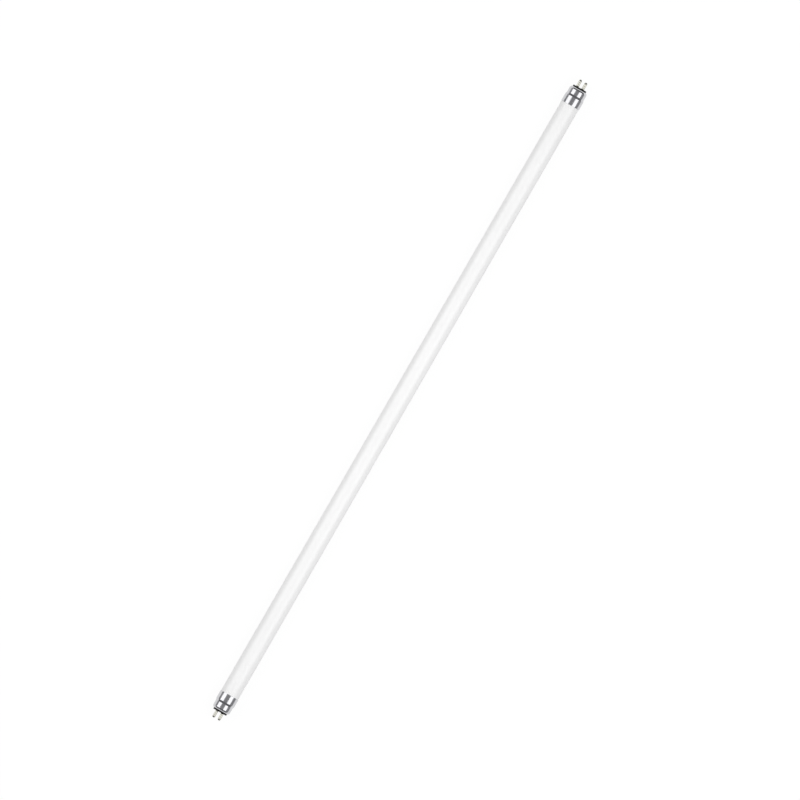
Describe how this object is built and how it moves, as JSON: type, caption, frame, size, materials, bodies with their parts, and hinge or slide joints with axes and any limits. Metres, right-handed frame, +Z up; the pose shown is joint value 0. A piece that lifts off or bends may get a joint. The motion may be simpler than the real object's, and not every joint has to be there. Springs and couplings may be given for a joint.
{
  "type": "led tube",
  "caption": "Slim opal glass LED tube with a stepped metal end shell, black pin plate and contact pins at each end, and its LED board and driver parts inside.",
  "frame": {"origin": "middle of the tube, on its axis, halfway between the two base faces", "axes": "+X along the tube towards its right end, +Y across it along the line of the pins, +Z up, the way the light leaves; the tube lies on its two shells"},
  "size_m": [0.5632, 0.0156, 0.0156],
  "materials": {
    "opal_glass": "smooth glass with an opal coat inside",
    "drawn_shell": "bright drawn aluminium",
    "black_moulding": "moulded black",
    "plated_pin": "pale plated brass",
    "cement": "matt cement",
    "tinned_wire": "tinned copper",
    "white_board": "white solder mask",
    "led_package": "white body, yellow window",
    "silicone": "white silicone",
    "green_board": "green solder mask",
    "resistor_coat": "blue-green coat",
    "can_sleeve": "dark sleeve",
    "film_box": "yellow-brown box",
    "choke_block": "pressed iron powder"
  },
  "bodies": {
    "root": {"glass_tube": "opal_glass", "left_end_shell": "drawn_shell", "right_end_shell": "drawn_shell", "left_pin_plate": "black_moulding", "right_pin_plate": "black_moulding", "left_front_pin": "plated_pin", "left_rear_pin": "plated_pin", "right_front_pin": "plated_pin", "right_rear_pin": "plated_pin", "cap_cement": "cement", "left_pin_leads": "tinned_wire", "right_pin_leads": "tinned_wire", "led_board": "white_board", "led_packages": "led_package", "board_bead": "silicone", "driver_board": "green_board", "input_board": "green_board", "left_board_posts": "tinned_wire", "right_board_posts": "tinned_wire", "fuse_resistor": "resistor_coat", "bridge_rectifier": "black_moulding", "smoothing_capacitor": "can_sleeve", "film_capacitor": "film_box", "choke": "choke_block", "driver_chip": "black_moulding", "chip_resistors": "black_moulding", "filament_resistors": "black_moulding", "input_capacitors": "film_box"}
  },
  "joints": []
}
